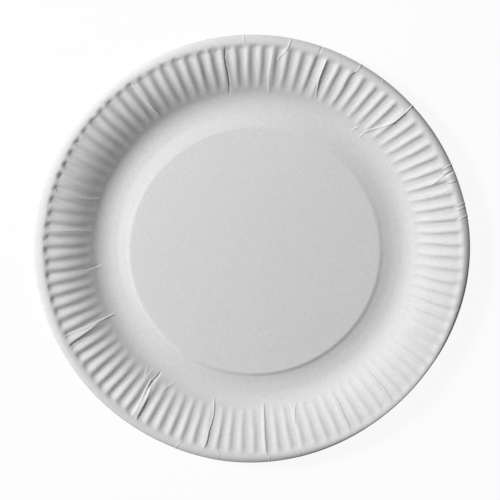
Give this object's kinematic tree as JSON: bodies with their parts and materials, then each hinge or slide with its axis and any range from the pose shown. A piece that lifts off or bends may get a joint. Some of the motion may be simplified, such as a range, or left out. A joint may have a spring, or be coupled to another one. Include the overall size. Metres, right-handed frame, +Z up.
{
  "type": "paper plate",
  "caption": "Round pressed paperboard plate with a raised flat centre, a ring foot, a fluted sloping wall and a plain rolled-down rim.",
  "frame": {"origin": "on the plate's axis, level with the underside of the foot ring that it stands on", "axes": "+Z up along the plate's axis, out of the side that food lies on; X and Y level, any turn about the axis"},
  "size_m": [0.23, 0.23, 0.0159],
  "materials": {
    "paperboard": "uncoated matte white board, fine fibre mottling, small press creases in the wall"
  },
  "bodies": {
    "root": {"plate": "paperboard"}
  },
  "joints": []
}
